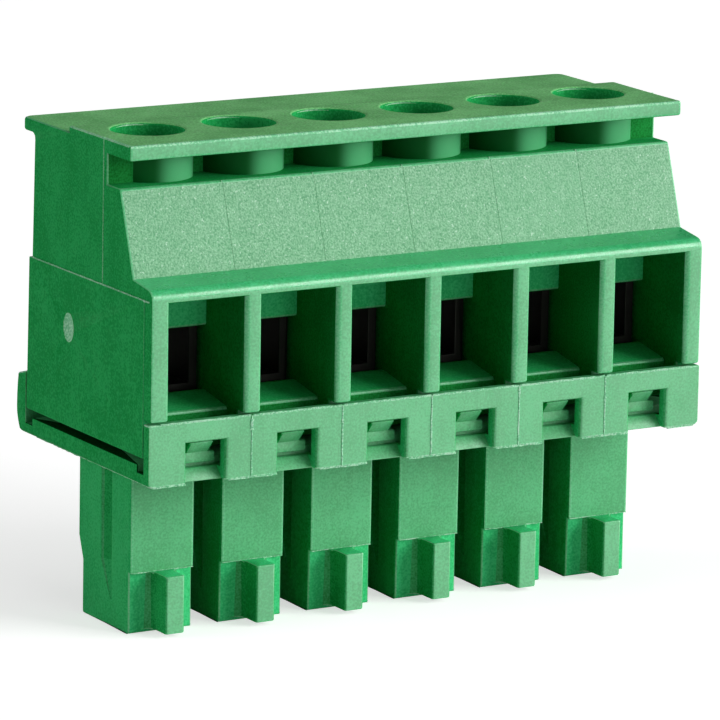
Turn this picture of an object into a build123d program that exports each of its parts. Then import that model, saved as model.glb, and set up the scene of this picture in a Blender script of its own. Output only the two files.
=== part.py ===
from build123d import *
import os

# Pluggable terminal block: a row of screw clamps in a two-piece moulded body.
# Wires go in at the front, the screws are turned from above, and the fingers
# below plug over the pins of a header.
# Millimetres. +X runs along the row, +Y from the wire side to the rear, +Z up.
# The origin lies under the middle of the block, on the plane of the finger tips.

# Row of poles
pole_count = 6
pitch = 3.81
end_margin = 2.35           # outer pole axis to the end of the block
panel_proud = 0.05          # how far the lower side panel stands out of the upper body

# Heights, stacked upwards from the finger tips
finger_length = 6.35
floor_thick = 0.72
floor_gap = 0.26            # slot between the base floor and the housing
band_height = 2.31          # front wall of the base
band_gap = 0.08             # between that wall and the entry walls above it
entry_height = 4.35
rim_height = 0.45           # bar over the entries, at its front edge
ledge_rise = 0.22
slope_height = 3.12
groove_height = 1.12
plate_thick = 0.57
parting_drop = 0.38         # side parting line below the rim's front edge
rear_step = 0.25            # rear strip of the top below the screw strip
lip_thick = 0.49

# Depths, measured back from the front face
block_depth = 10.45
band_setback = 0.03         # front wall of the base behind the entry walls
band_thick = 0.45
band_clear = 0.06
ledge_depth = 1.48
slope_run = 1.07
groove_depth = 1.00
pocket_inset = 0.30         # pockets between the screw tubes, up to the screw axes
plate_overhang = 0.80       # plate in front of the top of the slope
step_margin = 0.34          # plain top between the screw holes and the rear step
rear_wall_thick = 0.72      # rear wall of the base
rear_wall_clear = 0.03
rear_draft = 0.15
rear_panel_step = 0.16
lip_overhang = 1.08         # rear lip behind the wall under it

# Wire entries
entry_width = 3.13
entry_depth = 2.95
lip_drop = 1.64             # entry roof down to the top of the wire hole
throat_length = 0.30
sill_setback = 1.30
sill_rise = 0.30

# Snap hooks of the housing in the slots of the base
hook_width = 1.00
hook_setback = 0.28
hook_ramp = 0.42
tongue_thick = 0.15         # lower edge of the hook, which dips into the base's trench
tongue_gap = 0.15
tongue_hold = 0.60
slot_width = 1.62
slot_height = 1.52
slot_depth = 0.68
slot_lead = 0.30            # depth of the slot at its foot, where the hook slides in
hook_clear = 0.06

# Screw wells
hole_radius = 1.35
hole_round = 0.12
tube_wall = 0.33

# Clamp screws
head_catch = 0.15           # head past the driver hole all round, so it can't come out
head_height = 0.95
head_clear = 0.06           # round the head, and above it under the shoulder
head_chamfer = 0.15
thread_wall = 0.40          # cage beside its bore
thread_clear = 0.05
driver_slot_width = 0.45
driver_slot_depth = 0.50

# Clamp cages
cage_side_clear = 0.165     # to the walls of the chamber
cage_front_clear = 0.07
cage_depth = 2.80
cage_wall = 0.35
cage_floor = 0.45
cage_head = 1.25            # the thick end that holds the thread
cage_corner = 0.25
cage_travel = 2.00
cage_clear = 0.10           # to the contact bar when open, and to the screw head when closed
window_margin = 0.25        # the open cage's window past the wire hole

# Contacts
bar_side_clear = 0.20       # contact bar in the cage's window
strip_thick = 0.50
strip_bend = 0.42
bar_margin = 0.30           # contact bar above the wire hole
bar_end_inset = 0.10
riser_clear = 0.15
tip_gap = 0.05              # screw tip above the contact bar
shelf_gap = 0.02
leaf_thick = 0.26
leaf_pinch = 0.56           # gap between the two leaves where they grip a pin
leaf_flare = 0.50
leaf_tip_height = 1.00      # leaf ends above the finger tip
leaf_grip_height = 2.20

# Fingers and their pin sockets
finger_setback = 3.36
finger_width = 2.67
finger_depth = 3.59
shoulder_height = 2.33      # the stepped-out upper finger above the tip
shoulder_front = 0.15
shoulder_rear = 0.33
rear_taper_low = 2.05
rear_taper_high = 2.93
tip_round = 0.12
socket_wall_front = 0.55
socket_depth = 2.42
socket_clear = 0.10
mouth_width = 1.20
mouth_thick = 0.60
mouth_lead = 0.28
lead_angle = 45

# Coding rib and groove of each finger
key_width = 0.80
key_proud = 1.20
key_rise = 0.15
key_foot = 0.50
key_round = 0.10
coding_setback = 1.32
coding_width = 0.84
coding_depth = 0.40
coding_step = 0.10          # steep rear edge of the groove
coding_step_run = 0.06
coding_low = 1.00
coding_full = 2.42
coding_end = 0.05           # share of the groove's size left where it runs out

# Edge radii of the mouldings
rim_round = 0.40
lip_fillet = 0.22
lip_corner = 0.40
band_corner = 0.20
relief_width_front = 0.40
relief_width_rear = 0.52
relief_depth = 0.28
rear_wall_height = 2.42
rear_wall_draft = 0.12
rear_wall_bulge = 0.95
rear_wall_foot = 0.38
rear_wall_crown = 0.17

past = 1.0                  # how far cutters run past the faces they open

# Places worked out from the sizes above
pole_xs = [(pole - (pole_count - 1) / 2) * pitch for pole in range(pole_count)]
row_half = (pole_count - 1) / 2 * pitch + end_margin
front = -block_depth / 2
rear = block_depth / 2

base_bottom = finger_length
floor_top = base_bottom + floor_thick
trench_floor = floor_top - relief_depth
housing_bottom = floor_top + floor_gap
band_top = base_bottom + band_height
frame_bottom = band_top + band_gap
entry_top = frame_bottom + entry_height
rim_top = entry_top + rim_height
parting = rim_top - parting_drop
slope_foot = rim_top + ledge_rise
groove_floor = slope_foot + slope_height
plate_bottom = groove_floor + groove_height
housing_top = plate_bottom + plate_thick
rear_top = housing_top - rear_step

band_front = front + band_setback
wall_front = front + band_thick + band_clear
slope_top_y = front + ledge_depth + slope_run
groove_back = slope_top_y + groove_depth
plate_front = slope_top_y - plate_overhang
throat_front = front + entry_depth
throat_back = throat_front + throat_length
cage_front = throat_back + cage_front_clear
cage_rear = cage_front + cage_depth
screw_y = (cage_front + cage_rear) / 2
pocket_back = screw_y - pocket_inset
step_y = screw_y + hole_radius + hole_round + step_margin
tray_rear = rear - rear_wall_thick
rear_low = tray_rear - rear_wall_clear
rear_at_parting = rear_low - rear_draft
rear_upper = rear_at_parting - rear_panel_step
rear_high = rear_upper - rear_draft
lip_rear = rear_high + lip_overhang

hole_top = entry_top - lip_drop
hole_bottom = frame_bottom + sill_rise
sill_front = front + sill_setback

bar_bottom = hole_top + bar_margin
bar_top = bar_bottom + strip_thick
window_bottom = hole_bottom + window_margin
cage_bottom = window_bottom - cage_floor
window_top = bar_top + cage_clear
cage_top = window_top + cage_head
head_bottom = cage_top + cage_travel + cage_clear
head_top = head_bottom + head_height
shoulder = head_top + head_clear
tube_radius = hole_radius + tube_wall
head_radius = hole_radius + head_catch
well_radius = head_radius + head_clear

cage_width = entry_width - 2 * cage_side_clear
contact_width = cage_width - 2 * (cage_wall + bar_side_clear)
bore_radius = cage_width / 2 - thread_wall
screw_radius = bore_radius - thread_clear
riser_front = cage_rear + riser_clear
riser_rear = riser_front + strip_thick
cavity_back = riser_rear + cage_clear

finger_front = front + finger_setback
finger_rear = finger_front + finger_depth
finger_mid = (finger_front + finger_rear) / 2
socket_front = finger_front + socket_wall_front
socket_mid = socket_front + socket_depth / 2
socket_width = contact_width + 2 * socket_clear


# One place per pole, at the given second coordinate of the sketch
def poles_at(second):
    return Locations(*[(x, second) for x in pole_xs])


# Housing: the upper moulding with the wire entries, screw wells and snap hooks.
# Its section is drawn across the row and run along it, then opened pole by pole.
pole_planes = [Plane.YZ.offset(x) for x in pole_xs]

with BuildPart() as housing:
    with BuildSketch(Plane.YZ) as section:
        with BuildLine():
            Polyline(
                (front, frame_bottom),
                (front, rim_top),
                (front + ledge_depth, slope_foot),
                (slope_top_y, groove_floor),
                (groove_back, groove_floor),
                (groove_back, plate_bottom),
                (plate_front, plate_bottom),
                (plate_front, housing_top),
                (step_y, housing_top),
                (step_y, rear_top),
                (lip_rear, rear_top),
                (lip_rear, rear_top - lip_thick),
                (rear_high, rear_top - lip_thick),
                (rear_upper, parting),
                (rear_at_parting, parting),
                (rear_low, housing_bottom),
                (wall_front, housing_bottom),
                (wall_front, frame_bottom),
                close=True,
            )
        make_face()
        fillet(section.vertices().sort_by_distance((front, rim_top))[0], rim_round)
        fillet(section.vertices().sort_by_distance((rear_high, rear_top - lip_thick))[0], lip_fillet)
    extrude(amount=row_half - panel_proud, both=True)

    # Lower side panels, a little proud of the ends
    with BuildSketch(Plane.YZ):
        with BuildLine():
            Polyline(
                (wall_front, parting),
                (rear_at_parting, parting),
                (rear_low, housing_bottom),
                (wall_front, housing_bottom),
                close=True,
            )
        make_face()
    extrude(amount=row_half, both=True)

    # Rounded corners at the ends of the rear lip
    lip_corners = housing.edges().filter_by(Axis.Z).group_by(Axis.Y)[-1]
    fillet(lip_corners, lip_corner)

    # Pockets behind the groove, and the screw tubes that stand between them
    with BuildSketch(Plane.XY.offset(groove_floor)):
        with Locations((0, (groove_back + pocket_back) / 2)):
            Rectangle(2 * pole_xs[-1], pocket_back - groove_back)
    extrude(amount=groove_height, mode=Mode.SUBTRACT)
    with BuildSketch(Plane.XY.offset(groove_floor)):
        with poles_at(screw_y):
            Circle(tube_radius)
    extrude(amount=groove_height)

    # Wire entries with a sloping sill, and the throat to the clamp
    with BuildSketch(*pole_planes):
        with BuildLine():
            Polyline(
                (front - past, housing_bottom - past),
                (sill_front, housing_bottom - past),
                (sill_front, frame_bottom),
                (throat_front, hole_bottom),
                (throat_back + past, hole_bottom),
                (throat_back + past, hole_top),
                (throat_front, hole_top),
                (throat_front, entry_top),
                (front - past, entry_top),
                close=True,
            )
        make_face()
    extrude(amount=entry_width / 2, both=True, mode=Mode.SUBTRACT)

    # Feet of the walls between the poles, which seat on the base floor
    with BuildSketch(Plane.XY.offset(floor_top)):
        with Locations(*[(x + pitch / 2, (throat_back + cavity_back) / 2) for x in pole_xs[:-1]]):
            Rectangle(pitch - entry_width, cavity_back - throat_back)
    extrude(amount=floor_gap)

    # Clamp chambers, open below for the cage, the contact and the screw
    with BuildSketch(Plane.XY.offset(head_bottom)):
        with poles_at((throat_back + cavity_back) / 2):
            Rectangle(entry_width, cavity_back - throat_back)
    extrude(amount=housing_bottom - head_bottom - past, mode=Mode.SUBTRACT)

    # Screw wells: a chamber for the head, and the narrower hole for the driver
    with BuildSketch(Plane.XY.offset(head_bottom)):
        with poles_at(screw_y):
            Circle(well_radius)
    extrude(amount=shoulder - head_bottom, mode=Mode.SUBTRACT)
    with BuildSketch(Plane.XY.offset(shoulder)):
        with poles_at(screw_y):
            Circle(hole_radius)
    extrude(amount=housing_top - shoulder + past, mode=Mode.SUBTRACT)
    hole_rims = housing.edges().filter_by(GeomType.CIRCLE).group_by(Axis.Z)[-1]
    fillet(hole_rims, hole_round)

    # Snap hooks on the sill wall, with a ramp below and a flat catch on top
    with BuildSketch(*pole_planes):
        with BuildLine():
            hook_top = base_bottom + slot_height - hook_clear
            Polyline(
                (front + hook_setback, hook_top),
                (sill_front + hook_clear, hook_top),
                (sill_front + hook_clear, housing_bottom),
                (front + hook_setback + hook_ramp, housing_bottom),
                close=True,
            )
        make_face()
    extrude(amount=hook_width / 2, both=True)

    # Tongues under the hooks, as wide as the slots they fill
    with BuildSketch(*pole_planes):
        with BuildLine():
            tongue_front = front + hook_setback + hook_ramp
            tongue_bottom = trench_floor + tongue_gap
            Polyline(
                (tongue_front, tongue_bottom),
                (tongue_front + tongue_thick, tongue_bottom),
                (tongue_front + tongue_thick, floor_top + hook_clear),
                (sill_front + tongue_hold, floor_top + hook_clear),
                (sill_front + tongue_hold, housing_bottom),
                (tongue_front, housing_bottom),
                close=True,
            )
        make_face()
    extrude(amount=slot_width / 2 - hook_clear, both=True)


# Base: the lower moulding, a tray that snaps under the housing and carries the fingers.
with BuildPart() as plug_base:
    with BuildSketch(Plane.YZ) as tray:
        with BuildLine():
            wall_top = base_bottom + rear_wall_height
            Polyline(
                (rear - rear_wall_foot, base_bottom),
                (band_front, base_bottom),
                (band_front, band_top),
                (front + band_thick, band_top),
                (front + band_thick, trench_floor),
                (wall_front + relief_width_front, trench_floor),
                (wall_front + relief_width_front, floor_top),
                (rear_low - relief_width_rear, floor_top),
                (rear_low - relief_width_rear, trench_floor),
                (tray_rear, trench_floor),
                (tray_rear, wall_top),
                (rear - rear_wall_draft, wall_top - rear_wall_crown),
            )
            bulge = (rear, base_bottom + rear_wall_bulge)
            TangentArc(bulge, (rear - rear_wall_draft, wall_top - rear_wall_crown), tangent=(0, 1))
            TangentArc(bulge, (rear - rear_wall_foot, base_bottom), tangent=(0, -1))
        make_face()
    extrude(amount=row_half, both=True)

    # Lower corners of the front wall
    foot_edges = plug_base.edges().filter_by(Axis.Y).group_by(Axis.Z)[0]
    fillet(foot_edges, band_corner)

    # Fingers: the section of one finger, stepped out above the shoulder
    with BuildSketch(*pole_planes) as finger_section:
        with BuildLine():
            Polyline(
                (finger_front, 0),
                (finger_front, shoulder_height),
                (finger_front - shoulder_front, shoulder_height),
                (finger_front - shoulder_front, base_bottom + floor_thick / 2),
                (finger_rear + shoulder_rear, base_bottom + floor_thick / 2),
                (finger_rear + shoulder_rear, rear_taper_high),
                (finger_rear, rear_taper_low),
                (finger_rear, 0),
                close=True,
            )
        make_face()
        fillet(finger_section.vertices().group_by(Axis.Y)[0], tip_round)
    extrude(amount=finger_width / 2, both=True)

    # Coding ribs on the finger fronts, flared into the face by concave fillets
    with BuildSketch(Plane.XY.offset(key_rise)) as ribs:
        with poles_at(finger_mid):
            Rectangle(finger_width, finger_depth)
        with poles_at(finger_front - key_proud / 2):
            Rectangle(key_width, key_proud)
        rib_feet = [
            vertex
            for vertex in ribs.vertices()
            if abs(vertex.Y - finger_front) < key_round
            and min(abs(vertex.X - x) for x in pole_xs) < finger_width / 4
        ]
        fillet(rib_feet, key_foot)
        rib_noses = ribs.vertices().group_by(Axis.Y)[0]
        fillet(rib_noses, key_round)
    extrude(amount=shoulder_height - key_rise)

    # Coding grooves in the left flanks, deepest in front and running out towards the tip
    for x in pole_xs:
        flank = x - finger_width / 2
        groove_front = finger_front + coding_setback
        groove_sections = []
        for height, share in ((base_bottom, 1), (coding_full, 1), (coding_low, coding_end)):
            with BuildSketch(Plane.XY.offset(height)) as groove_section:
                with BuildLine():
                    Polyline(
                        (flank, groove_front),
                        (flank + share * coding_depth, groove_front),
                        (flank + share * coding_step, groove_front + share * (coding_width - coding_step_run)),
                        (flank, groove_front + share * coding_width),
                        close=True,
                    )
                make_face()
            groove_sections.append(groove_section.sketch)
        loft(sections=groove_sections, ruled=True, mode=Mode.SUBTRACT)

    # Sockets for the contacts, and the mouths for the pins with their lead-in
    with BuildSketch(Plane.XY.offset(mouth_thick)):
        with poles_at(socket_mid):
            Rectangle(socket_width, socket_depth)
    extrude(amount=floor_top - mouth_thick + past, mode=Mode.SUBTRACT)
    with BuildSketch():
        with poles_at(socket_mid):
            Rectangle(mouth_width, mouth_width)
    extrude(amount=mouth_thick, mode=Mode.SUBTRACT)
    with BuildSketch():
        with poles_at(socket_mid):
            Rectangle(mouth_width + 2 * mouth_lead, mouth_width + 2 * mouth_lead)
    extrude(amount=mouth_lead, taper=lead_angle, mode=Mode.SUBTRACT)

    # Slots for the snap hooks, open at the bottom and sloped where the hooks slide in
    with BuildSketch(*pole_planes):
        with BuildLine():
            Polyline(
                (front - past, base_bottom - past),
                (front + slot_lead, base_bottom - past),
                (front + slot_lead, base_bottom),
                (front + slot_depth, trench_floor),
                (front + slot_depth, base_bottom + slot_height),
                (front - past, base_bottom + slot_height),
                close=True,
            )
        make_face()
    extrude(amount=slot_width / 2, both=True, mode=Mode.SUBTRACT)


# Clamp screw: slotted cheese head and a shank that turns in the cage's thread.
def make_screw(x):
    with BuildPart() as screw:
        with BuildSketch(Plane.XY.offset(head_bottom)):
            with Locations((x, screw_y)):
                Circle(head_radius)
        extrude(amount=head_height)
        chamfer(screw.edges().group_by(Axis.Z)[-1], head_chamfer)
        with BuildSketch(Plane.XY.offset(head_bottom)):
            with Locations((x, screw_y)):
                Circle(screw_radius)
        extrude(amount=bar_top + tip_gap - head_bottom)
        chamfer(screw.edges().group_by(Axis.Z)[0], head_chamfer)
        with BuildSketch(Plane.XY.offset(head_top)):
            with Locations((x, screw_y)):
                Rectangle(2 * head_radius + past, driver_slot_width)
        extrude(amount=-driver_slot_depth, mode=Mode.SUBTRACT)
    return screw.part


# Clamp cage: a square sleeve round the contact bar, drawn up by the screw.
def make_cage(x):
    with BuildPart() as cage:
        with BuildSketch(Plane.XZ.offset(-cage_front)):
            with Locations((x, (cage_bottom + cage_top) / 2)):
                RectangleRounded(cage_width, cage_top - cage_bottom, cage_corner)
            with Locations((x, (window_bottom + window_top) / 2)):
                Rectangle(cage_width - 2 * cage_wall, window_top - window_bottom, mode=Mode.SUBTRACT)
        extrude(amount=-cage_depth)
        with BuildSketch(Plane.XY.offset(window_top)):
            with Locations((x, screw_y)):
                Circle(bore_radius)
        extrude(amount=cage_head, mode=Mode.SUBTRACT)
    return cage.part


# Contact: a bent strip, with the clamping bar above and two spring leaves in the finger.
def make_contact(x):
    bar_mid = bar_bottom + strip_thick / 2
    riser_mid = riser_front + strip_thick / 2
    shelf_mid = floor_top + shelf_gap + strip_thick / 2
    shelf_front = socket_front + socket_clear
    grip = (leaf_pinch + leaf_thick) / 2
    spread = socket_depth / 2 - socket_clear - leaf_thick / 2
    with BuildPart() as contact:
        with BuildSketch(Plane.YZ.offset(x)):
            with BuildLine():
                FilletPolyline(
                    (cage_front + bar_end_inset, bar_mid),
                    (riser_mid, bar_mid),
                    (riser_mid, shelf_mid),
                    (shelf_front, shelf_mid),
                    radius=strip_bend,
                )
            trace(line_width=strip_thick)
        extrude(amount=contact_width / 2, both=True)
        for side in (-1, 1):
            with BuildSketch(Plane.YZ.offset(x)):
                with BuildLine():
                    FilletPolyline(
                        (socket_mid + side * spread, shelf_mid),
                        (socket_mid + side * spread, base_bottom - floor_thick),
                        (socket_mid + side * grip, leaf_grip_height),
                        (socket_mid + side * (grip + leaf_flare), leaf_tip_height),
                        radius=strip_bend,
                    )
                trace(line_width=leaf_thick)
            extrude(amount=contact_width / 2, both=True)
    return contact.part


os.makedirs("parts", exist_ok=True)

housing.part.label = "housing"
export_step(housing.part, "parts/housing.step")

plug_base.part.label = "plug_base"
export_step(plug_base.part, "parts/plug_base.step")

for pole, x in enumerate(pole_xs, start=1):
    for name, piece in (
        (f"clamp_screw_{pole}", make_screw(x)),
        (f"clamp_cage_{pole}", make_cage(x)),
        (f"contact_{pole}", make_contact(x)),
    ):
        piece.label = name
        export_step(piece, f"parts/{name}.step")
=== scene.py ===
import math

import bmesh
import bpy
from mathutils import Matrix, Vector


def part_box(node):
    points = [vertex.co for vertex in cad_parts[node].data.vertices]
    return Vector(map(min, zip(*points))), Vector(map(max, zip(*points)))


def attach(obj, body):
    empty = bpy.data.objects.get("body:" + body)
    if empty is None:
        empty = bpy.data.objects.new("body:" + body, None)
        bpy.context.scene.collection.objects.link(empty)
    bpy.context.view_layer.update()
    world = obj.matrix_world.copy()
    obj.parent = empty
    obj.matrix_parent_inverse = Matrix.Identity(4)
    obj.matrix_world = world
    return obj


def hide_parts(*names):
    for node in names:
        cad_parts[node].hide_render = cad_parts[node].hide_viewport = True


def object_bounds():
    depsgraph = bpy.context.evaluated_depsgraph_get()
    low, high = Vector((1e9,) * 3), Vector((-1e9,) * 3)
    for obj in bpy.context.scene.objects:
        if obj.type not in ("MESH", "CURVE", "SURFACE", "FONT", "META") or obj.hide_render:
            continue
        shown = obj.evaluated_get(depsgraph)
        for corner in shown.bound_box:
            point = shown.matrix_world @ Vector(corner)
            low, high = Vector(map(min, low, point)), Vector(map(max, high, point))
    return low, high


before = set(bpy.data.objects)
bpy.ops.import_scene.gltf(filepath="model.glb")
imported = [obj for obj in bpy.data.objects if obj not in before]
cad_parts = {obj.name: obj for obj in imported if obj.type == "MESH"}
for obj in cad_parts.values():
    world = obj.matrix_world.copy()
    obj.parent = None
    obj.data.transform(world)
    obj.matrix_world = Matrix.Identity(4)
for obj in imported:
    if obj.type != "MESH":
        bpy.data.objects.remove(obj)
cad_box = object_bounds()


# Base: the lower moulding, a tray with six fingers that plugs over the pins of a header.
# Green polyamide, injection moulded in one piece; the housing snaps down into it.
# The mould leaves a small radius on its outward edges, and the plastic has a pale and patchy skin.
# The edge radii are painted paler, partly as wear and partly as painted highlight, and each face gets a lit
# or a shaded copy of the green by the way it faces, as painted light and shade.
mm = 0.001
weld_distance = 0.001 * mm
flat_angle = math.radians(0.5)
sharpest_smooth = math.radians(38)
thin_face_share = 0.38         # of a narrow face that its edge radius may take
no_width = 0.0005 * mm
base_edge_radius = 0.055 * mm
rib_edge_radius = 0.22 * mm
finger_edge_radius = 0.12 * mm
slot_edge_radius = 0.20 * mm
# Painted light and shade: green_light and green_deep are the lit copy of the green for faces turned to the
# front; side_light and side_deep are a darker, shaded copy for faces turned sideways, back or down.
green_light = (0.050, 0.425, 0.152, 1)
green_deep = (0.022, 0.310, 0.094, 1)
side_light = (0.020, 0.360, 0.091, 1)
side_deep = (0.008, 0.264, 0.056, 1)
# Painted light: flank_light and flank_deep are a lighter copy of the side green, for the outer fingers'
# flanks and the entries' inner flanks, where more light falls.
flank_light = (0.036, 0.450, 0.135, 1)
flank_deep = (0.016, 0.350, 0.092, 1)
# Painted shade: trench_light and trench_deep are a near-black copy of the green for the trench along the
# base's sides, where shade falls.
trench_light = (0.002, 0.050, 0.010, 1)
trench_deep = (0.001, 0.030, 0.006, 1)
# Painted light: inner_light and inner_deep are a paler copy of the green, for the finger fronts below the
# step, faces that look up, the hook notches' walls glowing with light let through the plastic, and the
# entries' back faces.
inner_light = (0.060, 0.600, 0.225, 1)
inner_deep = (0.026, 0.470, 0.150, 1)
green_wear_and_highlight = (0.150, 0.510, 0.250, 1)
green_flash_and_highlight = (0.360, 0.690, 0.450, 1)
see_through = 0.30             # share of the light that goes into the plastic and comes out nearby
see_through_depth = 0.22 * mm
see_through_colour = (0.4, 1.0, 0.5)
mould_grain = 0.08 * mm
fine_grain = 0.06 * mm
smooth_relief = 0.004 * mm
rough_relief = 0.006 * mm


def welded_copy(node_name, piece_name):
    """Copies a CAD node, welds its loose triangles and joins them into flat faces."""
    bpy.ops.object.select_all(action="DESELECT")
    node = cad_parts[node_name]
    node.select_set(True)
    bpy.context.view_layer.objects.active = node
    bpy.ops.object.duplicate()
    piece = bpy.context.view_layer.objects.active
    piece.name = piece_name
    piece.data.name = piece_name
    piece.data.materials.clear()
    bpy.ops.object.mode_set(mode="EDIT")
    bpy.ops.mesh.select_all(action="SELECT")
    bpy.ops.mesh.customdata_custom_splitnormals_clear()
    bpy.ops.mesh.remove_doubles(threshold=weld_distance)
    bpy.ops.mesh.dissolve_limited(angle_limit=flat_angle)
    bpy.ops.object.mode_set(mode="OBJECT")
    return piece


def apply_modifier(piece, kind, **settings):
    """Adds one modifier with its settings and applies it to the mesh."""
    bpy.ops.object.select_all(action="DESELECT")
    piece.select_set(True)
    bpy.context.view_layer.objects.active = piece
    bpy.ops.object.modifier_add(type=kind)
    modifier = piece.modifiers[-1]
    for name, value in settings.items():
        setattr(modifier, name, value)
    bpy.ops.object.modifier_apply(modifier=modifier.name)


def width_across(face, edge):
    """Measures how wide a face is, straight across from three points of one of its edges."""
    own = next(loop for loop in face.loops if loop.edge == edge)
    start, end = own.vert.co, own.link_loop_next.vert.co
    along = (end - start).normalized()
    inward = face.normal.cross(along)
    widths = [1]
    for share in (0.25, 0.5, 0.75):
        place = start.lerp(end, share)
        for loop in face.loops:
            near, far = loop.vert.co - place, loop.link_loop_next.vert.co - place
            before, after = near.dot(along), far.dot(along)
            if loop.edge != edge and (before > 0) != (after > 0):
                depth = near.dot(inward) + (far - near).dot(inward) * before / (before - after)
                if depth > no_width:
                    widths.append(depth)
    return min(widths)


def round_outward_edges(piece, radius, edge_slot, softer=None):
    """Rounds the outward edges inside the piece's own box, some of them softer, and splits hollow faces."""
    corners = [vert.co.copy() for vert in piece.data.vertices]
    low = [min(corner[axis] for corner in corners) for axis in range(3)]
    high = [max(corner[axis] for corner in corners) for axis in range(3)]
    edit = bmesh.new()
    edit.from_mesh(piece.data)
    weight = edit.edges.layers.float.new("bevel_weight_edge")
    radii = {}
    for edge in edit.edges:
        if len(edge.link_faces) != 2 or not edge.is_convex:
            continue
        if edge.calc_face_angle() < sharpest_smooth:
            continue
        start, end = edge.verts[0].co, edge.verts[1].co
        soft = softer((start + end) / 2, (end - start).normalized()) if softer else 0
        narrowest = min(width_across(face, edge) for face in edge.link_faces)
        radii[edge] = min(soft or radius, thin_face_share * narrowest)
    widest = max(radii.values())
    for edge, own in radii.items():
        edge[weight] = own / widest
    edit.to_mesh(piece.data)
    edit.free()
    apply_modifier(piece, "BEVEL", limit_method="WEIGHT", width=widest, segments=2,
                   use_clamp_overlap=False, material=edge_slot)
    for vert in piece.data.vertices:
        vert.co = [min(max(vert.co[axis], low[axis]), high[axis]) for axis in range(3)]
    bpy.ops.object.mode_set(mode="EDIT")
    bpy.ops.mesh.select_all(action="SELECT")
    bpy.ops.mesh.vert_connect_concave()
    bpy.ops.object.mode_set(mode="OBJECT")
    bpy.ops.object.shade_smooth_by_angle(angle=sharpest_smooth)
    apply_modifier(piece, "WEIGHTED_NORMAL", keep_sharp=True)


def new_material(name):
    """Returns a material with its nodes, links and shader."""
    material = bpy.data.materials.new(name)
    material.use_nodes = True
    tree = material.node_tree
    return material, tree.nodes, tree.links, tree.nodes["Principled BSDF"]


def noise(nodes, links, vector, size, detail):
    """Adds a noise texture whose spots are about the given size."""
    texture = nodes.new("ShaderNodeTexNoise")
    texture.inputs["Scale"].default_value = 1 / size
    texture.inputs["Detail"].default_value = detail
    links.new(vector, texture.inputs["Vector"])
    return texture.outputs["Fac"]


def spread(nodes, links, value, low, high, to_low=0, to_high=1):
    """Stretches a value's range from low to high onto another range."""
    stretch = nodes.new("ShaderNodeMapRange")
    stretch.inputs["From Min"].default_value = low
    stretch.inputs["From Max"].default_value = high
    stretch.inputs["To Min"].default_value = to_low
    stretch.inputs["To Max"].default_value = to_high
    links.new(value, stretch.inputs["Value"])
    return stretch.outputs["Result"]


def blend_colours(nodes, links, factor, first, second):
    """Mixes two colours, each given as a colour or as a node's output."""
    mix = nodes.new("ShaderNodeMix")
    mix.data_type = "RGBA"
    links.new(factor, mix.inputs["Factor"])
    for socket, colour in ((mix.inputs["A"], first), (mix.inputs["B"], second)):
        if isinstance(colour, tuple):
            socket.default_value = colour
        else:
            links.new(colour, socket)
    return mix.outputs["Result"]


# The skin of a moulding: clouds of colour, faint drag lines from the mould's opening and fine speckles,
# scuffs that change the sheen, and the fine grain of the mould's surface.
mould_skin = bpy.data.node_groups.new("mould_skin", "ShaderNodeTree")
grain_size = mould_skin.interface.new_socket("Grain Size", in_out="INPUT", socket_type="NodeSocketFloat")
grain_size.default_value = fine_grain
for output in ("Tone", "Scuff", "Grain"):
    mould_skin.interface.new_socket(output, in_out="OUTPUT", socket_type="NodeSocketFloat")
nodes, links = mould_skin.nodes, mould_skin.links
skin_in = nodes.new("NodeGroupInput")
skin_out = nodes.new("NodeGroupOutput")
place = nodes.new("ShaderNodeTexCoord").outputs["Object"]
drawn = nodes.new("ShaderNodeMapping")
drawn.inputs["Scale"].default_value = (1, 1, 0.07)
links.new(place, drawn.inputs["Vector"])
clouds = noise(nodes, links, place, 1.9 * mm, 4)
drag_lines = noise(nodes, links, drawn.outputs["Vector"], 0.22 * mm, 3)
speckles = noise(nodes, links, place, 0.08 * mm, 2)
tone = None
for layer, share in ((clouds, 0.30), (drag_lines, 0.12), (speckles, 0.58)):
    weighed = nodes.new("ShaderNodeMath")
    weighed.operation = "MULTIPLY_ADD"
    weighed.inputs[1].default_value = share
    weighed.inputs[2].default_value = 0
    links.new(layer, weighed.inputs[0])
    if tone:
        links.new(tone, weighed.inputs[2])
    tone = weighed.outputs["Value"]
links.new(tone, skin_out.inputs["Tone"])
links.new(noise(nodes, links, place, 0.42 * mm, 6), skin_out.inputs["Scuff"])
grain_rate = nodes.new("ShaderNodeMath")
grain_rate.operation = "DIVIDE"
grain_rate.inputs[0].default_value = 1
links.new(skin_in.outputs["Grain Size"], grain_rate.inputs[1])
grain = nodes.new("ShaderNodeTexNoise")
grain.inputs["Detail"].default_value = 2
links.new(place, grain.inputs["Vector"])
links.new(grain_rate.outputs["Value"], grain.inputs["Scale"])
links.new(grain.outputs["Fac"], skin_out.inputs["Grain"])


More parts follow.
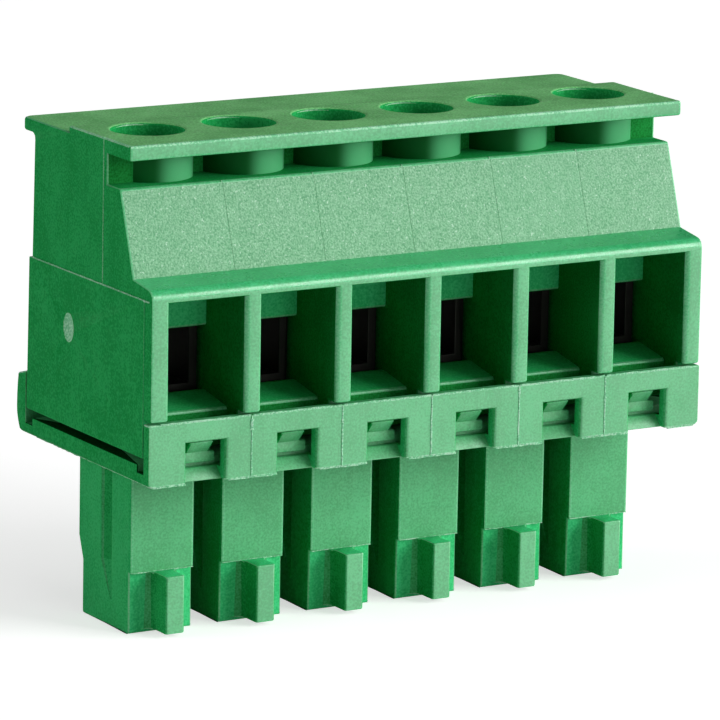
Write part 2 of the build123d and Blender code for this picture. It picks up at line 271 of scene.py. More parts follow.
def moulded_plastic(name, dark, light, patch, roughness, gloss, relief_height, grain=mould_grain):
    """Polyamide between two greens, in clouds or in sharper patches, with a scuffed sheen and a grain."""
    material, nodes, links, shader = new_material(name)
    shader.inputs["Specular IOR Level"].default_value = gloss
    shader.inputs["Subsurface Weight"].default_value = see_through
    shader.inputs["Subsurface Radius"].default_value = see_through_colour
    shader.inputs["Subsurface Scale"].default_value = see_through_depth
    skin = nodes.new("ShaderNodeGroup")
    skin.node_tree = mould_skin
    skin.inputs["Grain Size"].default_value = grain
    patches = spread(nodes, links, skin.outputs["Tone"], 0.5 - patch, 0.5 + patch)
    links.new(blend_colours(nodes, links, patches, dark, light), shader.inputs["Base Color"])
    scuffed = spread(nodes, links, skin.outputs["Scuff"], 0.3, 0.7, roughness - 0.06, roughness + 0.08)
    links.new(scuffed, shader.inputs["Roughness"])
    relief = nodes.new("ShaderNodeBump")
    relief.inputs["Strength"].default_value = 0.4
    relief.inputs["Distance"].default_value = relief_height
    links.new(skin.outputs["Grain"], relief.inputs["Height"])
    links.new(relief.outputs["Normal"], shader.inputs["Normal"])
    return material


# Painted light and shade: the side skin is the shaded copy, and the turn skin blends it into the lit green.
# The front and finger skins carry the lit copy with raised gloss, the front's also with a higher IOR, for a
# painted sheen.
side_skin = moulded_plastic("green_polyamide_side", side_deep, side_light,
                            patch=0.05, roughness=0.60, gloss=0.02, relief_height=smooth_relief)
turn_skin = moulded_plastic("green_polyamide_turn", side_deep, green_light,
                            patch=0.12, roughness=0.55, gloss=0.30, relief_height=0.005 * mm)
finger_skin = moulded_plastic("green_polyamide_finger", green_deep, green_light,
                              patch=0.08, roughness=0.55, gloss=0.75, relief_height=rough_relief)
front_skin = moulded_plastic("green_polyamide_front", green_deep, green_light,
                             patch=0.08, roughness=0.58, gloss=1.00, relief_height=rough_relief)
flank_skin = moulded_plastic("green_polyamide_flank", flank_deep, flank_light,
                             patch=0.08, roughness=0.60, gloss=0.05, relief_height=smooth_relief)
# Painted shade: the trench skin is near black, and its IOR of 1 takes its reflection away.
trench_skin = moulded_plastic("green_polyamide_trench", trench_deep, trench_light,
                              patch=0.08, roughness=0.70, gloss=0.02, relief_height=smooth_relief)
front_skin.node_tree.nodes["Principled BSDF"].inputs["IOR"].default_value = 1.6
trench_skin.node_tree.nodes["Principled BSDF"].inputs["IOR"].default_value = 1.0
inner_skin = moulded_plastic("green_polyamide_inner", inner_deep, inner_light,
                             patch=0.08, roughness=0.60, gloss=0.10, relief_height=smooth_relief)
# Painted highlight and wear: the edge radii are given a paler green, partly for wear and partly for the
# light that the rounded edges catch.
wear_and_highlight_edge = moulded_plastic("green_polyamide_edge", green_light, green_wear_and_highlight,
                            patch=0.10, roughness=0.36, gloss=0.50, relief_height=0.005 * mm,
                            grain=fine_grain)
# The flash edge's pale green is real flash on the base's rims, the gate and the part lines, and a painted
# highlight along the housing's top edges.
flash_and_highlight_edge = moulded_plastic("green_polyamide_flash_and_highlight", green_wear_and_highlight, green_flash_and_highlight,
                             patch=0.05, roughness=0.45, gloss=0.20, relief_height=0.008 * mm,
                             grain=fine_grain)

base = welded_copy("plug_base", "base_moulding")
base_low, base_high = map(Vector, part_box("plug_base"))
wall_foot = 6.35 * mm
wall_top = wall_foot + 2.31 * mm
finger_front = base_low.y + 3.33 * mm
step_z = 2.33 * mm
slot_half = 0.81 * mm
notch_depth = 1.2 * mm
end_wall = 0.8 * mm
end_flank = 1.2 * mm
rim_reach = 0.08 * mm
trench_low, trench_high = wall_foot + 0.20 * mm, wall_foot + 0.75 * mm
trench_end, trench_depth = 0.3 * mm, 0.9 * mm
close = 0.1 * mm               # what counts as lying on a surface
side_facing = 0.82             # share of a normal along x from which a face counts as a side
turn_facing = 0.45
poles = range(1, 1 + sum(name.startswith("contact_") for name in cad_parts))
screw_boxes = [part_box(f"clamp_screw_{pole}") for pole in poles]
pole_xs = [(low[0] + high[0]) / 2 for low, high in screw_boxes]
pitch = pole_xs[1] - pole_xs[0]
base_skins = (side_skin, turn_skin, front_skin, finger_skin, wear_and_highlight_edge, flash_and_highlight_edge, flank_skin,
              trench_skin, inner_skin)
side_slot, turn_slot, front_slot, finger_slot, wear_and_highlight_slot = range(5)
flash_and_highlight_slot, flank_slot, trench_slot, inner_slot = range(5, 9)


def skin_by_facing(face, front):
    """Gives the slot of the sides' skin, a painted-shade copy, of the one on a turn between, or else the
    front's, a lit copy.
    """
    if abs(face.normal.x) > side_facing or (face.normal.y > -0.3 and face.normal.z < 0.3):
        return side_slot
    return turn_slot if abs(face.normal.x) > turn_facing else front


def base_softness(middle, along):
    """Gives the larger radius of the upright edges in front, on the ribs, the fingers and the hook slots."""
    if abs(along.z) < 0.98:
        return 0
    if middle.z < wall_foot and middle.y < finger_front - 0.5 * mm:
        return rib_edge_radius
    if middle.z < wall_foot:
        return finger_edge_radius if middle.y < finger_front + close else 0
    right_of_slot = min(abs(middle.x - x - slot_half) for x in pole_xs) < 0.02 * mm
    return slot_edge_radius if right_of_slot and middle.y < base_low.y + 0.02 * mm else 0


def base_skin_slot(face):
    """Chooses the skin of a face of the base by its place and by the side it looks to."""
    at, facing = face.center, face.normal
    on_edge = face.material_index == wear_and_highlight_slot
    if at.z < wall_foot - close:
        on_rib = at.y < finger_front - 2 * close or facing.z > 0.5
        slot = skin_by_facing(face, front_slot if on_rib else finger_slot)
        # Painted highlight and wear: on the fingers, only the rounded edges on their fronts keep the paler
        # edge green.
        if on_edge and at.y < finger_front + close and abs(facing.x) < side_facing:
            return wear_and_highlight_slot
        # Painted light: the outer fingers' flanks get the lighter flank copy.
        if abs(at.x) > base_high.x - end_flank and abs(facing.x) > side_facing:
            return flank_slot
        # Painted light: finger fronts below the step and faces that look up get the paler inner copy.
        under_step = slot == finger_slot and at.z < step_z
        return inner_slot if under_step or facing.z > 0.5 else slot
    near_rim = min(abs(at.z - wall_foot), abs(at.z - wall_top)) < rim_reach
    outside = at.y < base_low.y + close or abs(at.x) > base_high.x - close
    slot = flash_and_highlight_slot if on_edge and near_rim and outside else skin_by_facing(face, front_slot)
    # Painted light: side walls in the hook notches get the paler inner copy, as a glow of light let through
    # the plastic.
    in_notch = at.y < base_low.y + notch_depth and abs(at.x) < base_high.x - end_wall
    if slot == side_slot and in_notch:
        return inner_slot
    # Painted shade: faces in the side trench get the near-black trench copy.
    between_ends = base_low.y + trench_end < at.y < base_high.y - trench_end
    in_trench = trench_low < at.z < trench_high and abs(at.x) > base_high.x - trench_depth and between_ends
    return trench_slot if in_trench and abs(facing.x) < 0.7 else slot


for skin in base_skins:
    base.data.materials.append(skin)
round_outward_edges(base, base_edge_radius, wear_and_highlight_slot, base_softness)
for face in base.data.polygons:
    face.material_index = base_skin_slot(face)
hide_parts("plug_base")
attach(base, "block")


# Flash: thin fins of green polyamide that were squeezed out where the base's mould closed.
# A seam with a nub stands up the front wall between every two poles, ragged lips lie along the wall's
# top edge and on the fingers' steps, and ragged fins hang under the wall's lower edges.
cut_tolerance = 0.0001 * mm
fin_thick = 0.030 * mm
fin_hang = 0.050 * mm
fin_corner = 0.20 * mm
fin_cut = 0.16 * mm
fin_z = wall_foot - fin_hang / 2 + 0.010 * mm
side_fin_middle, side_fin_length = base_low.y + 4.6 * mm, 9.1 * mm
seam_proud = 0.022 * mm
seam_width = 0.050 * mm
seam_ragged = 0.010 * mm
seam_y = base_low.y - seam_proud / 2
seam_nubs = (                  # each nub's drop from the wall's top, its height and its width
    (0.35, 0.40, 0.14),
    (0.62, 0.16, 0.09),
    (1.30, 0.22, 0.08),
    (0.24, 0.18, 0.09),
    (0.90, 0.20, 0.08),
)
band_lip = (pitch - 0.08 * mm, 0.036 * mm, 0.050 * mm)
step_lip = (2.56 * mm, 0.030 * mm, 0.034 * mm)
fin_colours = moulded_plastic("flash_fin", green_wear_and_highlight, green_flash_and_highlight,
                              patch=0.04, roughness=0.50, gloss=0.08, relief_height=rough_relief,
                              grain=0.05 * mm)


def finish_piece(piece, name, material, body):
    """Puts a new piece's place into its mesh, and names, paints and fixes it."""
    bpy.ops.object.select_all(action="DESELECT")
    piece.select_set(True)
    bpy.context.view_layer.objects.active = piece
    bpy.ops.object.transform_apply(location=True, rotation=True, scale=True)
    piece.name = name
    piece.data.name = name
    piece.data.materials.clear()
    piece.data.materials.append(material)
    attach(piece, body)


def ragged_bar(centre, size, cuts, raggedness, seed):
    """Adds a thin bar, divides it along its length and pushes its points about."""
    bpy.ops.object.select_all(action="DESELECT")
    bpy.ops.mesh.primitive_cube_add(size=1, location=centre)
    bar = bpy.context.view_layer.objects.active
    bar.scale = size
    bpy.ops.object.transform_apply(location=False, rotation=False, scale=True)
    length = max(range(3), key=lambda axis: size[axis])
    across = Vector((0, 0, 0))
    across[length] = 1
    bpy.ops.object.mode_set(mode="EDIT")
    for cut in range(1, cuts):
        bpy.ops.mesh.select_all(action="SELECT")
        bpy.ops.mesh.bisect(plane_co=Vector(centre) + across * size[length] * (cut / cuts - 0.5),
                            plane_no=across, threshold=cut_tolerance)
    bpy.ops.mesh.select_all(action="SELECT")
    bpy.ops.transform.vertex_random(offset=raggedness, uniform=1, seed=seed)
    bpy.ops.object.mode_set(mode="OBJECT")
    return bar


for between in range(len(pole_xs) - 1):
    seam_x = pole_xs[between] + pitch / 2
    seam = ragged_bar((seam_x, seam_y + 0.004 * mm, (wall_foot + wall_top) / 2),
                      (seam_width, seam_proud, wall_top - wall_foot - 0.06 * mm),
                      cuts=14, raggedness=seam_ragged, seed=between)
    finish_piece(seam, f"front_seam_{between + 1}", fin_colours, "block")
    drop, height, width = (size * mm for size in seam_nubs[between])
    nub = ragged_bar((seam_x, seam_y + 0.003 * mm, wall_top - drop),
                     (width, seam_proud, height), cuts=5, raggedness=seam_ragged, seed=60 + between)
    finish_piece(nub, f"seam_nub_{between + 1}", fin_colours, "block")

for pole, x in zip(poles, pole_xs):
    lip = ragged_bar((x, base_low.y + 0.008 * mm, wall_top - 0.004 * mm), band_lip,
                     cuts=22, raggedness=0.014 * mm, seed=110 + pole)
    finish_piece(lip, f"band_flash_{pole}", fin_colours, "block")

fin_ends = [base_low.x + fin_corner]
for x in pole_xs:
    fin_ends += [x - slot_half, x + slot_half + 0.15 * mm]
fin_ends.append(base_high.x - fin_corner)
for number, (start, end) in enumerate(zip(fin_ends[::2], fin_ends[1::2]), start=1):
    fin = ragged_bar(((start + end) / 2, base_low.y + fin_thick, fin_z), (end - start, fin_thick, fin_hang),
                     cuts=max(6, round((end - start) / fin_cut)), raggedness=0.016 * mm, seed=20 + number)
    finish_piece(fin, f"front_fin_{number}", fin_colours, "block")

for pole, x in zip(poles, pole_xs):
    step = ragged_bar((x, finger_front - 0.15 * mm, step_z), step_lip,
                      cuts=18, raggedness=0.010 * mm, seed=90 + pole)
    finish_piece(step, f"finger_flash_{pole}", fin_colours, "block")

for side, x in (("left", base_low.x + fin_corner), ("right", base_high.x - fin_corner)):
    fin = ragged_bar((x, side_fin_middle, fin_z), (fin_thick, side_fin_length, fin_hang),
                     cuts=56, raggedness=0.018 * mm, seed=40)
    finish_piece(fin, f"{side}_fin", fin_colours, "block")


# Contacts: six bent strips, each with a clamping bar above and two spring leaves below.
# Stamped from copper alloy and tin plated; they drop into the fingers from above.
tin_edge_radius = 0.04 * mm
tin_bright = (0.46, 0.45, 0.43, 1)
tin_dull = (0.30, 0.29, 0.28, 1)


def plated_metal(name, bright, dull, roughness, streak):
    """Plated sheet: fine rolling streaks across the strip, with duller clouds."""
    material, nodes, links, shader = new_material(name)
    shader.inputs["Metallic"].default_value = 1
    place = nodes.new("ShaderNodeTexCoord").outputs["Object"]
    drawn_out = nodes.new("ShaderNodeMapping")
    drawn_out.inputs["Scale"].default_value = streak
    links.new(place, drawn_out.inputs["Vector"])
    streaks = noise(nodes, links, drawn_out.outputs["Vector"], 0.3 * mm, 3)
    clouds = noise(nodes, links, place, 0.9 * mm, 4)
    links.new(blend_colours(nodes, links, clouds, dull, bright), shader.inputs["Base Color"])
    streaked = spread(nodes, links, streaks, 0, 1, roughness - 0.08, roughness + 0.12)
    links.new(streaked, shader.inputs["Roughness"])
    relief = nodes.new("ShaderNodeBump")
    relief.inputs["Strength"].default_value = 0.2
    relief.inputs["Distance"].default_value = 0.004 * mm
    links.new(streaks, relief.inputs["Height"])
    links.new(relief.outputs["Normal"], shader.inputs["Normal"])
    return material


tin = plated_metal("tinned_copper", tin_bright, tin_dull, 0.42, (6, 1, 1))
for pole in poles:
    contact = welded_copy(f"contact_{pole}", f"contact_strip_{pole}")
    contact.data.materials.append(tin)
    round_outward_edges(contact, tin_edge_radius, 0)
    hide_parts(f"contact_{pole}")
    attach(contact, "block")


# Clamp cages: square sleeves round the contact bars, which draw the wires up against them.
# Folded from steel with a dull nickel plating, and threaded in the thick upper end; its colour is painted
# far darker than nickel, as painted shade.
cage_edge_radius = 0.03 * mm
# Painted shade: these greys are far darker than nickel, for the shade inside the wire entries.
nickel_painted_shade_bright = (0.040, 0.039, 0.036, 1)
nickel_painted_shade_dull = (0.022, 0.021, 0.020, 1)

nickel = plated_metal("nickel_plated_steel", nickel_painted_shade_bright, nickel_painted_shade_dull, 0.45, (1, 6, 1))
for pole in poles:
    cage = welded_copy(f"clamp_cage_{pole}", f"clamp_sleeve_{pole}")
    cage.data.materials.append(nickel)
    round_outward_edges(cage, cage_edge_radius, 0)
    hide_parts(f"clamp_cage_{pole}")
    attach(cage, f"cage_{pole}")


# Housing: the upper moulding, with a wire entry in front of each pole and a screw well on top.
# Green polyamide like the base. Its slope is spark eroded in the mould, so it looks matt and pale,
# with a witness line between every two poles and a gate mark on the left side.
housing_edge_radius = 0.095 * mm
entry_edge_radius = 0.20 * mm
slope_low = (0.040, 0.260, 0.095, 1)
slope_high = (0.195, 0.480, 0.255, 1)
slope_spark = (0.340, 0.590, 0.400, 1)
slope_dim = (0.105, 0.385, 0.175, 1)
# Painted light: top_light and top_deep are a paler, yellower copy of the green for the faces on top, where
# light falls from above and behind.
top_light = (0.225, 0.640, 0.240, 1)
top_deep = (0.118, 0.405, 0.132, 1)
# Painted light: rim_light and rim_deep are a brighter copy of the green, with more gloss, for the rim and
# the ledge below the slope, which catch the light.
rim_light = (0.062, 0.530, 0.205, 1)
rim_deep = (0.028, 0.395, 0.130, 1)
# Painted shade: deep_light and deep_dark are a darker copy of the green for the entries' side walls, the
# sill walls and the recess behind the tubes, where shade falls.
deep_light = (0.012, 0.265, 0.049, 1)
deep_dark = (0.005, 0.165, 0.023, 1)
# Painted shade and sheen: the tubes' green runs from the dark colour to the pale one by the way their wall
# faces, pale where it turns towards the light.
tube_painted_sheen = (0.070, 0.370, 0.150, 1)
tube_painted_shade = (0.002, 0.095, 0.016, 1)
sheen_azimuth = math.radians(22)
spark_size = 0.075 * mm
witness_half = 0.030 * mm
witness_deep = 0.009 * mm
part_line_y = -1.475 * mm
part_line_half = 0.018 * mm
part_line_proud = 0.020 * mm
part_line_low = 13.16 * mm
slope_foot = 13.76 * mm
frame_bottom = 8.74 * mm
front_y = cad_box[0][1]
sill_front = front_y + 1.30 * mm
entry_half = 1.565 * mm
recess_low, recess_high = 16.86 * mm, 18.02 * mm
recess_half = 11.7 * mm
part_line_x = 11.6 * mm
part_line_top_x = 11.83 * mm
entries_half = 11.2 * mm
panel_lip = (0.040 * mm, 9.1 * mm, 0.058 * mm)
well_radius = 1.60 * mm
tube_radius = 1.75 * mm
screw_y = (screw_boxes[0][0][1] + screw_boxes[0][1][1]) / 2
gate_centre = Vector((cad_box[0][0], 1.075 * mm, 11.08 * mm))
gate_half = (0.40 * mm, 0.55 * mm)
gate_deep = 0.075 * mm

slope_skin, nodes, links, shader = new_material("green_polyamide_eroded")
skin = nodes.new("ShaderNodeGroup")
skin.node_tree = mould_skin
skin.inputs["Grain Size"].default_value = spark_size
place = nodes.new("ShaderNodeTexCoord").outputs["Object"]
erosion = spread(nodes, links, skin.outputs["Grain"], 0.32, 0.68)
ground = blend_colours(nodes, links, erosion, slope_low, slope_high)
panels = nodes.new("ShaderNodeVectorMath")
panels.operation = "SNAP"
panels.inputs[1].default_value = (pitch, 1, 1)
links.new(place, panels.inputs[0])
panel_noise = noise(nodes, links, panels.outputs["Vector"], 2.3 * mm, 0)
panel_tone = spread(nodes, links, panel_noise, 0.35, 0.65, 0, 0.30)
toned = blend_colours(nodes, links, panel_tone, ground, slope_dim)
sparks = spread(nodes, links, noise(nodes, links, place, 0.10 * mm, 1), 0.66, 0.76)
links.new(blend_colours(nodes, links, sparks, toned, slope_spark), shader.inputs["Base Color"])
shader.inputs["Specular IOR Level"].default_value = 0.6
links.new(spread(nodes, links, skin.outputs["Scuff"], 0.3, 0.7, 0.50, 0.62), shader.inputs["Roughness"])
relief = nodes.new("ShaderNodeBump")
relief.inputs["Strength"].default_value = 0.7
relief.inputs["Distance"].default_value = 0.022 * mm
links.new(skin.outputs["Grain"], relief.inputs["Height"])
links.new(relief.outputs["Normal"], shader.inputs["Normal"])


def pick_faces(piece, wanted):
    """Selects, in edit mode, only the faces that the test accepts."""
    bpy.ops.object.mode_set(mode="OBJECT")
    bpy.context.tool_settings.mesh_select_mode = (False, False, True)
    piece.data.vertices.foreach_set("select", [False] * len(piece.data.vertices))
    piece.data.edges.foreach_set("select", [False] * len(piece.data.edges))
    piece.data.polygons.foreach_set("select", [bool(wanted(face)) for face in piece.data.polygons])
    bpy.ops.object.mode_set(mode="EDIT")


def line_in_face(piece, on_face, across, middle, half_width, shift):
    """Cuts a narrow strip across the wanted faces and raises or sinks it."""
    across = Vector(across)
    for side in (-1, 1):
        pick_faces(piece, on_face)
        bpy.ops.mesh.bisect(plane_co=across * middle + across * side * half_width, plane_no=across,
                            threshold=cut_tolerance)
    pick_faces(piece, lambda face: on_face(face) and abs(face.center.dot(across) - middle) < half_width)
    bpy.ops.mesh.extrude_region_move(TRANSFORM_OT_translate={"value": shift})
    bpy.ops.object.mode_set(mode="OBJECT")


def on_slope(face):
    """Tells whether a face lies on the sloping front."""
    return face.normal.y < -0.85 and 0.2 < face.normal.z < 0.5 and face.center.z > slope_foot


def on_upper_side(face, side):
    """Tells whether a face lies on the housing's left (-1) or right (1) side, above the part line's foot."""
    outside = abs(face.center.x) > part_line_x
    return face.normal.x * side > 0.99 and face.center.z > part_line_low and outside


def in_gate(face):
    """Tells whether a face lies in the dish where the gate was."""
    off = face.center - gate_centre
    in_outline = math.hypot(off.y / gate_half[0], off.z / gate_half[1]) < 1
    return 0.002 * mm < off.x < 0.2 * mm and in_outline


def off_well(at):
    """Measures how far a point lies from the axis of the nearest screw well."""
    return min(math.hypot(at.x - x, at.y - screw_y) for x in pole_xs)


def housing_softness(middle, along):
    """Gives the larger radius of the upright edge on the right of each wire entry."""
    right_of_entry = min(abs(middle.x - x - entry_half) for x in pole_xs) < 0.03 * mm
    in_front = middle.y < front_y + 0.05 * mm and frame_bottom < middle.z < part_line_low
    return entry_edge_radius if abs(along.z) > 0.98 and right_of_entry and in_front else 0


housing = welded_copy("housing", "housing_moulding")
top_skin = moulded_plastic("green_polyamide_top", top_deep, top_light,
                           patch=0.07, roughness=0.50, gloss=0.30, relief_height=rough_relief)
rim_skin = moulded_plastic("green_polyamide_rim", rim_deep, rim_light,
                           patch=0.08, roughness=0.30, gloss=0.85, relief_height=0.005 * mm)
deep_skin = moulded_plastic("green_polyamide_deep", deep_dark, deep_light,
                            patch=0.08, roughness=0.60, gloss=0.03, relief_height=smooth_relief)

# The wells' tubes are painted dark between the plates as painted shade, with a painted sheen of paler green
# where the round wall turns to the front.
tube_skin, nodes, links, shader = new_material("green_polyamide_tube")
facing = nodes.new("ShaderNodeVectorMath")
facing.operation = "DOT_PRODUCT"
facing.inputs[1].default_value = (math.sin(sheen_azimuth), -math.cos(sheen_azimuth), 0)
links.new(nodes.new("ShaderNodeTexCoord").outputs["Normal"], facing.inputs[0])
sheen = spread(nodes, links, facing.outputs["Value"], 0.72, 1.0)
sheen.node.interpolation_type = "SMOOTHERSTEP"
links.new(blend_colours(nodes, links, sheen, tube_painted_shade, tube_painted_sheen), shader.inputs["Base Color"])
shader.inputs["Specular IOR Level"].default_value = 0.05
shader.inputs["Roughness"].default_value = 0.40

housing_skins = (side_skin, turn_skin, front_skin, wear_and_highlight_edge, slope_skin, top_skin, flash_and_highlight_edge, tube_skin,
                 rim_skin, inner_skin, deep_skin, flank_skin)
side_slot, turn_slot, front_slot, wear_and_highlight_slot, slope_slot, top_slot = range(6)
flash_and_highlight_slot, tube_slot, rim_slot, inner_slot, deep_slot, flank_slot = range(6, 12)
for skin in housing_skins:
    housing.data.materials.append(skin)
bpy.context.view_layer.objects.active = housing
slope_out = next(face.normal.copy() for face in housing.data.polygons if on_slope(face))
for x in pole_xs[:-1]:
    line_in_face(housing, on_slope, (1, 0, 0), x + pitch / 2, witness_half, -witness_deep * slope_out)
for side in (-1, 1):
    line_in_face(housing, lambda face: on_upper_side(face, side), (0, 1, 0), part_line_y, part_line_half,
                 (side * part_line_proud, 0, 0))
bpy.ops.object.select_all(action="DESELECT")
bpy.ops.mesh.primitive_uv_sphere_add(segments=40, ring_count=24, radius=1, location=(0, 0, 0))
dish = bpy.context.view_layer.objects.active
ball_depth = 2 * gate_deep
ball_share = math.sqrt(1 - (1 - gate_deep / ball_depth) ** 2)
dish.scale = (ball_depth, gate_half[0] / ball_share, gate_half[1] / ball_share)
dish.location = gate_centre + Vector((gate_deep - ball_depth, 0, 0))
bpy.ops.object.transform_apply(location=True, rotation=True, scale=True)
apply_modifier(housing, "BOOLEAN", operation="DIFFERENCE", solver="EXACT", object=dish)
bpy.data.objects.remove(dish, do_unlink=True)


def housing_skin_slot(face):
    """Chooses the skin of a face of the housing by its place and by the side it looks to."""
    at, facing = face.center, face.normal
    slot = skin_by_facing(face, front_slot)
    in_entry = frame_bottom < at.z < part_line_low
    if on_slope(face):
        return slope_slot
    if in_gate(face):
        return flash_and_highlight_slot
    # Painted shade: the wells' walls take the darker side copy.
    if at.z > recess_low and abs(facing.z) < 0.7 and off_well(at) < well_radius:
        return side_slot
    # Painted shade and sheen: in the recess under the top, the tubes get the tube colours and the rest the
    # darker deep copy.
    if recess_low + 0.03 * mm < at.z < recess_high and abs(at.x) < recess_half:
        return tube_slot if off_well(at) < tube_radius else deep_slot
    # Painted shade: the groove floor under the top takes the darker side copy.
    if recess_low - 0.05 * mm < at.z < recess_high and facing.z > 0.7:
        return side_slot
    # Painted light: the faces on top get the paler top copy.
    if facing.z > 0.7 and at.z > recess_high:
        return top_slot
    # Painted shade: the sill walls below the entries get the darker deep copy.
    if abs(at.y - sill_front) < 0.05 * mm and at.z < frame_bottom + close and facing.y < -0.9:
        return deep_slot
    # Painted light: faces set back in the entries get the paler inner copy where they face the front, and
    # the lighter flank copy otherwise.
    if in_entry and at.y > front_y + 0.5 * mm and slot == front_slot:
        return inner_slot if facing.y < -0.9 else flank_slot
    # Painted shade: the entries' side walls get the darker deep copy.
    if in_entry and abs(facing.x) > side_facing and abs(at.x) < entries_half:
        return deep_slot
    # Painted light: the rim and ledge faces that look up or to the front get the brighter rim copy.
    on_rim = part_line_low < at.z < slope_foot and facing.z > 0.12
    if on_rim and (facing.y < -0.35 or facing.z > 0.7):
        return rim_slot
    on_line = abs(at.x) > part_line_top_x and abs(at.y - part_line_y) < 0.03 * mm
    return flash_and_highlight_slot if on_line and at.z > part_line_low + close else slot


for face in housing.data.polygons:
    face.material_index = housing_skin_slot(face)
round_outward_edges(housing, housing_edge_radius, wear_and_highlight_slot, housing_softness)
# Painted shade and highlight: edge radii turned sideways, down or back take the darker side skin, and those
# along the top take the pale flash green as a painted highlight.
for face in housing.data.polygons:
    if face.material_index != wear_and_highlight_slot:
        continue
    if abs(face.normal.x) > side_facing or face.normal.z < -0.5 or face.normal.y > 0.5:
        face.material_index = side_slot
    elif face.center.z > cad_box[1][2] - 0.12 * mm:
        face.material_index = flash_and_highlight_slot
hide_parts("housing")
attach(housing, "block")
for side, number in ((-1, 1), (1, 2)):
    lip = ragged_bar((side * (cad_box[1][0] - 0.034 * mm), -0.50 * mm, part_line_low), panel_lip,
                     cuts=64, raggedness=0.013 * mm, seed=80 + number)
    finish_piece(lip, f"panel_flash_{number}", fin_colours, "block")


# Clamp screws: slotted cheese heads on threaded shanks, held down under the well's shoulder.
# Zinc-plated steel, turned and rolled; one is made and the others are copies of it.
screw_edge_radius = 0.05 * mm
zinc_bright = (0.58, 0.59, 0.60, 1)
zinc_dull = (0.42, 0.43, 0.44, 1)
thread_pitch = 0.40 * mm
thread_depth = 0.16 * mm
thread_turns = 7
thread_fill = 0.95             # share of the pitch that one turn of the thread takes up
thread_start = 0.32 * mm
head_height = 0.95 * mm
shank_radius = 0.95 * mm

zinc = plated_metal("zinc_plated_steel", zinc_bright, zinc_dull, 0.34, (1, 1, 8))
first_low, first_high = screw_boxes[0]
head_foot = first_high.z - head_height
axis_x, axis_y = pole_xs[0], screw_y
core_share = 1 - thread_depth / shank_radius
screw = welded_copy("clamp_screw_1", "slotted_screw_1")
for vert in screw.data.vertices:
    on_shank = math.hypot(vert.co.x - axis_x, vert.co.y - axis_y) < shank_radius * 1.02
    if on_shank and vert.co.z < head_foot + 0.01 * mm:
        vert.co.x = axis_x + (vert.co.x - axis_x) * core_share
        vert.co.y = axis_y + (vert.co.y - axis_y) * core_share
screw.data.materials.append(zinc)
round_outward_edges(screw, screw_edge_radius, 0)

# The thread is a triangle that stands upright beside the shank and is wound up along it.
bpy.ops.object.select_all(action="DESELECT")
bpy.ops.mesh.primitive_circle_add(
    vertices=3, radius=thread_pitch, location=(0, 0, 0),
    rotation=Matrix(((0, 1, 0), (0, 0, 1), (1, 0, 0))).to_euler())
thread = bpy.context.view_layer.objects.active
thread.scale = (thread_fill / math.sqrt(3), thread_depth / thread_pitch, 1)
bpy.ops.object.transform_apply(location=False, rotation=True, scale=True)
crest = max(vert.co.x for vert in thread.data.vertices)
bpy.ops.object.mode_set(mode="EDIT")
bpy.ops.mesh.select_all(action="SELECT")
bpy.ops.transform.translate(value=(shank_radius - crest, 0, 0))
bpy.ops.object.mode_set(mode="OBJECT")
apply_modifier(thread, "SCREW", axis="Z", angle=2 * math.pi, screw_offset=thread_pitch,
               iterations=thread_turns, steps=24, render_steps=24, use_merge_vertices=False)
bpy.ops.object.mode_set(mode="EDIT")
bpy.ops.mesh.select_all(action="SELECT")
bpy.ops.mesh.fill_holes(sides=3)
bpy.ops.mesh.normals_make_consistent(inside=False)
bpy.ops.object.mode_set(mode="OBJECT")
bpy.ops.object.shade_smooth_by_angle(angle=sharpest_smooth)
thread.location = (axis_x, axis_y, first_low.z + thread_start)
thread.data.materials.append(zinc)
bpy.ops.object.select_all(action="DESELECT")
thread.select_set(True)
screw.select_set(True)
bpy.context.view_layer.objects.active = screw
bpy.ops.object.join()
for pole in poles:
    turned = screw
    if pole > 1:
        bpy.ops.object.select_all(action="DESELECT")
        screw.select_set(True)
        bpy.context.view_layer.objects.active = screw
        bpy.ops.object.duplicate()
        turned = bpy.context.view_layer.objects.active
        turned.location.x = pole_xs[pole - 1] - pole_xs[0]
        bpy.ops.object.transform_apply(location=True, rotation=False, scale=False)
        turned.name = f"slotted_screw_{pole}"
        turned.data.name = turned.name
    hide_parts(f"clamp_screw_{pole}")
    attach(turned, f"screw_{pole}")


# Floor: a plain white sheet under the finger tips.
# It is lifted to white where the camera, a mirror or a glass sees it, and keeps the block's shadow.
floor_size = 1.6
floor_lift = 0.62
paper_white = (0.71, 0.71, 0.71, 1)
paper_grey = (0.69, 0.69, 0.69, 1)
bpy.ops.object.select_all(action="DESELECT")
bpy.ops.mesh.primitive_plane_add(size=floor_size)
floor = bpy.context.view_layer.objects.active
floor.name = "floor"
paper, nodes, links, shader = new_material("white_paper")
fibres = noise(nodes, links, nodes.new("ShaderNodeTexCoord").outputs["Object"], 3 * mm, 3)
links.new(blend_colours(nodes, links, fibres, paper_grey, paper_white), shader.inputs["Base Color"])
shader.inputs["Roughness"].default_value = 0.9
shader.inputs["Specular IOR Level"].default_value = 0.1
path = nodes.new("ShaderNodeLightPath")
seen = nodes.new("ShaderNodeMath")
seen.operation = "ADD"
seen.use_clamp = True
links.new(path.outputs["Is Camera Ray"], seen.inputs[0])
reflected = nodes.new("ShaderNodeMath")
reflected.operation = "ADD"
links.new(path.outputs["Is Glossy Ray"], reflected.inputs[0])
links.new(path.outputs["Is Transmission Ray"], reflected.inputs[1])
links.new(reflected.outputs["Value"], seen.inputs[1])
lift = nodes.new("ShaderNodeMath")
lift.operation = "MULTIPLY"
lift.inputs[1].default_value = floor_lift
links.new(seen.outputs["Value"], lift.inputs[0])
shader.inputs["Emission Color"].default_value = (1, 1, 1, 1)
links.new(lift.outputs["Value"], shader.inputs["Emission Strength"])
floor.data.materials.append(paper)


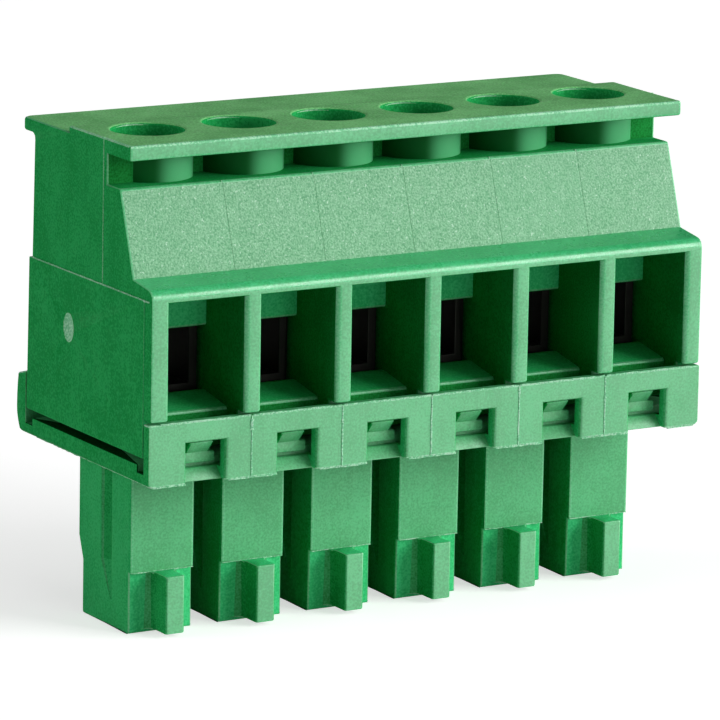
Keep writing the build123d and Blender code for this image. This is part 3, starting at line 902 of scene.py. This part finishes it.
# Light: a large soft box in front on the right with a low one beside it, weaker ones in front,
# on the left and above, and a dim room.
middle = Vector((0, 0, 0.010))
box_distance = 1.0
room_strength = 0.04


def soft_box(name, azimuth, elevation, width, height, power):
    """Adds a soft box that faces the block; azimuth 0 is in front, and + is to the right."""
    across, rise = math.radians(azimuth), math.radians(elevation)
    towards = Vector((
        math.sin(across) * math.cos(rise),
        -math.cos(across) * math.cos(rise),
        math.sin(rise),
    ))
    bpy.ops.object.light_add(type="AREA", location=middle + box_distance * towards)
    box = bpy.context.view_layer.objects.active
    box.name = name
    box.rotation_euler = towards.to_track_quat("Z", "Y").to_euler()
    box.data.shape = "RECTANGLE"
    box.data.size = width
    box.data.size_y = height
    box.data.energy = power


soft_box("key_box", 45, 24, 0.60, 0.55, 8.2)
soft_box("side_box", 66, 6, 0.50, 0.19, 5.2)
soft_box("front_box", 4, 9, 0.50, 0.30, 1.4)
soft_box("top_box", 10, 80, 0.60, 0.60, 1.2)
soft_box("fill_box", -105, 18, 0.80, 0.60, 3.8)

room = bpy.data.worlds.new("dim_room")
room.use_nodes = True
bpy.context.scene.world = room
wall = room.node_tree.nodes["Background"]
wall.inputs["Color"].default_value = (1, 1, 1, 1)
wall.inputs["Strength"].default_value = room_strength


# Camera: a long lens, left of the wire side and a little above it, as in the photograph.
# It is rolled by about a degree, as the photograph is.
view_azimuth = math.radians(-30.66)
view_elevation = math.radians(12.36)
view_roll = math.radians(1.12)
view_distance = 212.08 * mm
view_aim = Vector((-0.696, -1.098, 9.231)) * mm
lens_mm = 283.17
sensor_mm = 36
nearest_seen = 0.005
back = Vector((
    math.sin(view_azimuth) * math.cos(view_elevation),
    -math.cos(view_azimuth) * math.cos(view_elevation),
    math.sin(view_elevation),
))
right = Vector((0, 0, 1)).cross(back).normalized()
up = back.cross(right)
upright = Matrix((right, up, back)).transposed()
rolled = upright @ Matrix.Rotation(view_roll, 3, "Z")
bpy.ops.object.camera_add(location=view_aim + view_distance * back, rotation=rolled.to_euler())
camera = bpy.context.view_layer.objects.active
camera.data.lens = lens_mm
camera.data.sensor_width = sensor_mm
camera.data.clip_start = nearest_seen
bpy.context.scene.camera = camera
bpy.context.scene.view_settings.view_transform = "Standard"
